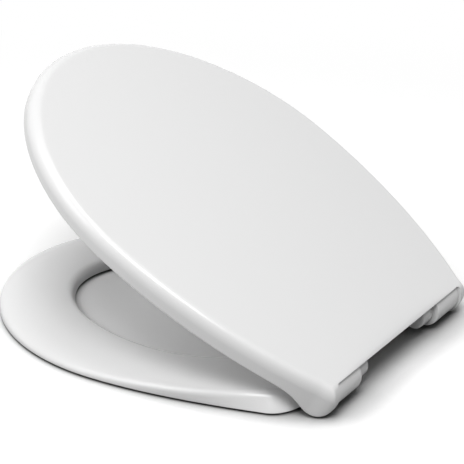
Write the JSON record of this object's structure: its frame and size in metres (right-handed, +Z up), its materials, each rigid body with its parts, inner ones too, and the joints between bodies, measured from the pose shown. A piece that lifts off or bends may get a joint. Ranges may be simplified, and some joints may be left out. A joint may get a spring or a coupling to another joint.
{
  "type": "toilet seat",
  "caption": "Moulded toilet seat: a gently crowned lid with a soft edge and round hinge ears, standing part open over an oval ring on low feet, with hinge mounts that plug onto posts.",
  "frame": {"origin": "middle of the footprint, on the surface that the seat lies on", "axes": "+Z up, -Y towards the front of the seat, +X to the right of someone who looks at it from the front along +Y"},
  "size_m": [0.37, 0.4287, 0.2414],
  "materials": {
    "white_moulding": "high gloss, thick moulded thermoset",
    "mount_plastic": "satin gloss",
    "damper_plastic": "matt",
    "rotor_plastic": "smooth bearing plastic",
    "grip_rubber": "matt",
    "buffer_rubber": "soft matt, pale grey",
    "pin_steel": "turned"
  },
  "bodies": {
    "hinge_mounts": {"hinge_mount_left": "mount_plastic", "hinge_mount_right": "mount_plastic", "post_sleeve_left": "grip_rubber", "post_sleeve_right": "grip_rubber", "lid_damper_housing": "damper_plastic", "lid_damper_cap": "damper_plastic", "lid_damper_seal": "grip_rubber", "seat_damper_rotor": "rotor_plastic"},
    "ring": {"seat_ring": "white_moulding", "knuckle_bush_inner": "rotor_plastic", "knuckle_bush_outer": "rotor_plastic", "lid_pivot_bush": "rotor_plastic", "seat_damper_housing": "damper_plastic", "seat_damper_cap": "damper_plastic", "seat_damper_seal": "grip_rubber", "ring_buffer_front_left": "buffer_rubber", "ring_buffer_front_right": "buffer_rubber", "ring_buffer_rear_left": "buffer_rubber", "ring_buffer_rear_right": "buffer_rubber"},
    "lid": {"lid": "white_moulding", "lid_damper_rotor": "rotor_plastic", "lid_pivot_pin": "pin_steel", "lid_buffer_front_left": "buffer_rubber", "lid_buffer_front_right": "buffer_rubber", "lid_buffer_rear_left": "buffer_rubber", "lid_buffer_rear_right": "buffer_rubber"}
  },
  "joints": [
    {"name": "ring_lift", "type": "hinge", "parent": "hinge_mounts", "child": "ring", "pos_m": [0, 0.19567, 0.0212], "axis": [-1, 0, 0], "range_deg": [0, 97]},
    {"name": "lid_lift", "type": "hinge", "parent": "ring", "child": "lid", "pos_m": [0, 0.19567, 0.0212], "axis": [-1, 0, 0], "range_deg": [-30.6, 74.4]}
  ]
}
